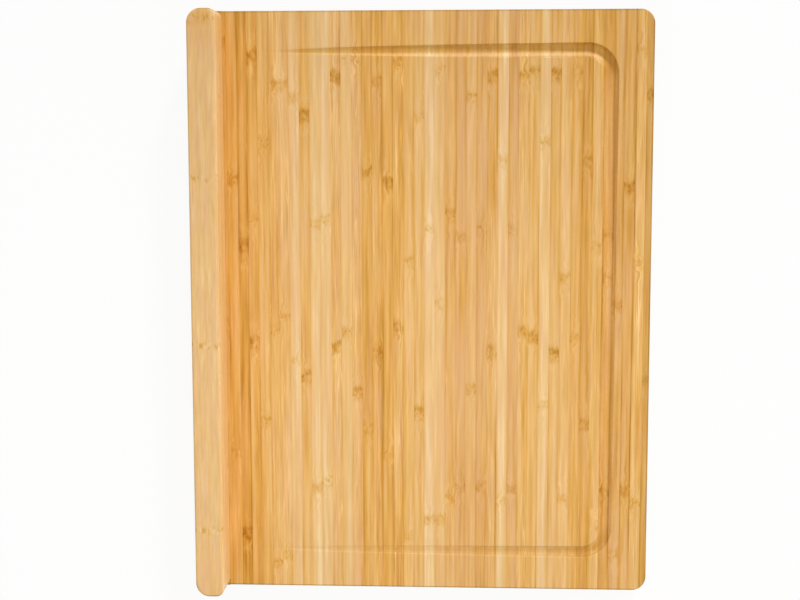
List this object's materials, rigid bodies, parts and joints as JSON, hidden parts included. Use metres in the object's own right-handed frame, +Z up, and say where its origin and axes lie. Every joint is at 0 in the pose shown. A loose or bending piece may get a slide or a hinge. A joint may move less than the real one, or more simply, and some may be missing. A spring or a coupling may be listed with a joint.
{
  "type": "cutting board",
  "caption": "Rectangular bamboo cutting board with a raised lip along a long edge, which hooks over a counter, and a juice groove that deepens towards one corner.",
  "frame": {"origin": "centre of the underside, on the surface that the board lies on", "axes": "+X across the strips, from the lip to the free edge; +Y along the strips; +Z up, out of the working face, the way the lip stands"},
  "size_m": [0.3556, 0.4572, 0.051],
  "materials": {
    "bamboo_caramel": "sanded and lightly oiled bamboo, satin",
    "bamboo_amber": "sanded and lightly oiled bamboo, satin",
    "bamboo_honey": "sanded and lightly oiled bamboo, satin",
    "bamboo_wheat": "sanded and lightly oiled bamboo, satin",
    "bamboo_straw": "sanded and lightly oiled bamboo, satin",
    "bamboo_cream": "sanded and lightly oiled bamboo, satin",
    "lip_bamboo": "sanded and lightly oiled bamboo, satin"
  },
  "bodies": {
    "root": {"lip_layer_1": "lip_bamboo", "lip_layer_2": "lip_bamboo", "lip_layer_3": "lip_bamboo", "lip_layer_4": "lip_bamboo", "strip_01": "bamboo_honey", "strip_02": "bamboo_amber", "strip_03": "bamboo_caramel", "strip_04": "bamboo_amber", "strip_05": "bamboo_caramel", "strip_06": "bamboo_amber", "strip_07": "bamboo_honey", "strip_08": "bamboo_honey", "strip_09": "bamboo_wheat", "strip_10": "bamboo_straw", "strip_11": "bamboo_honey", "strip_12": "bamboo_cream", "strip_13": "bamboo_cream", "strip_14": "bamboo_wheat", "strip_15": "bamboo_straw", "strip_16": "bamboo_honey", "strip_17": "bamboo_amber", "strip_18": "bamboo_amber", "strip_19": "bamboo_amber", "strip_20": "bamboo_amber", "strip_21": "bamboo_wheat", "strip_22": "bamboo_wheat", "strip_23": "bamboo_cream", "strip_24": "bamboo_straw", "strip_25": "bamboo_honey", "strip_26": "bamboo_honey", "strip_27": "bamboo_wheat", "strip_28": "bamboo_honey", "strip_29": "bamboo_honey", "strip_30": "bamboo_cream", "strip_31": "bamboo_honey", "strip_32": "bamboo_wheat", "strip_33": "bamboo_honey", "strip_34": "bamboo_cream", "strip_35": "bamboo_honey", "strip_36": "bamboo_wheat", "strip_37": "bamboo_honey", "strip_38": "bamboo_amber", "strip_39": "bamboo_honey", "strip_40": "bamboo_amber", "strip_41": "bamboo_amber", "strip_42": "bamboo_amber", "strip_43": "bamboo_wheat", "strip_44": "bamboo_caramel"}
  },
  "joints": []
}
